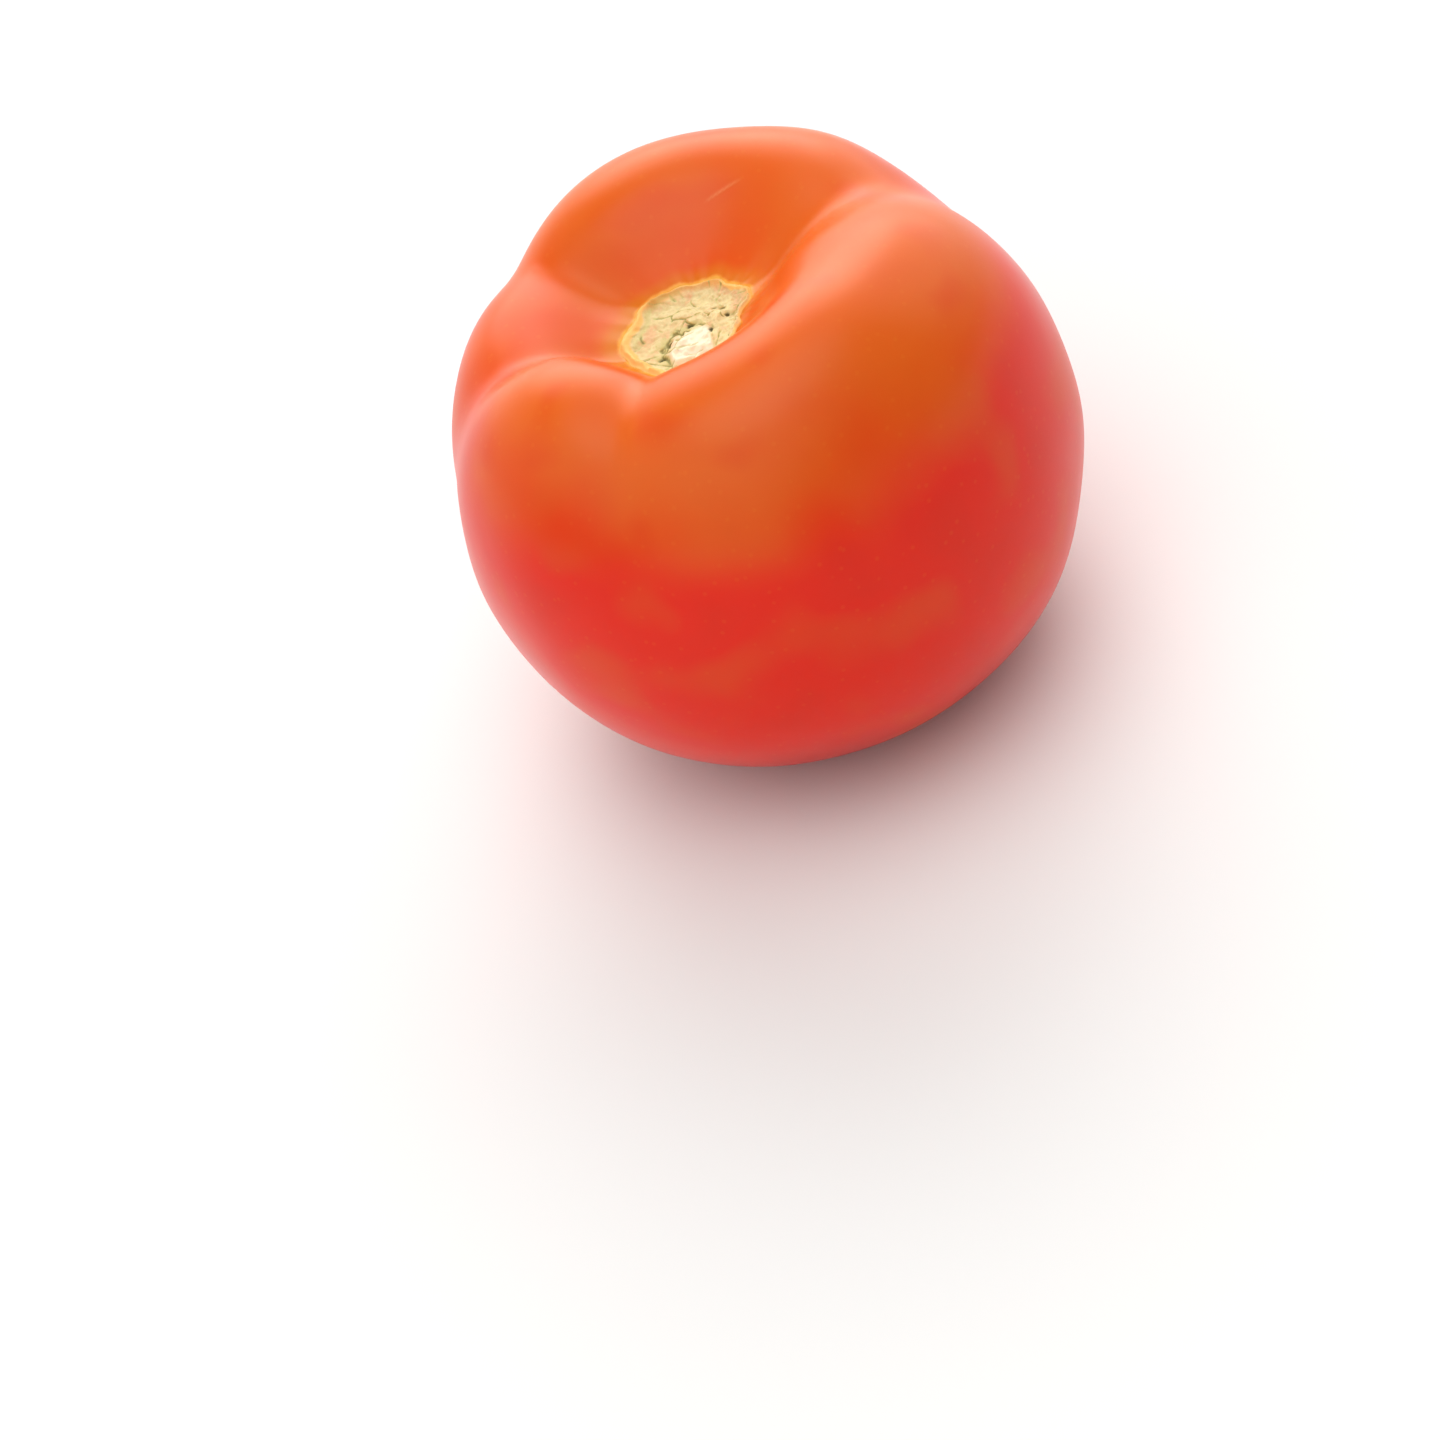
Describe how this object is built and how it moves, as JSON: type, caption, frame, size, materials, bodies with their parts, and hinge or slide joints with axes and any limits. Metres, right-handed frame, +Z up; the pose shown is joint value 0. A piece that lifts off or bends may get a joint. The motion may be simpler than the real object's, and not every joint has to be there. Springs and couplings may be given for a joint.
{
  "type": "tomato",
  "caption": "Ripe red tomato with lobed shoulders round a sunken corky stem scar, picked without its calyx and resting on its blossom end.",
  "frame": {"origin": "middle of the small flat resting spot at the blossom end", "axes": "+Z up, roughly along the stem axis, whose stem end leans a little towards -X; -Y is the side with the widest lobe and +X the side with the deepest groove"},
  "size_m": [0.0737, 0.0758, 0.0627],
  "materials": {
    "tomato_skin": "gloss"
  },
  "bodies": {
    "root": {"tomato": "tomato_skin"}
  },
  "joints": []
}
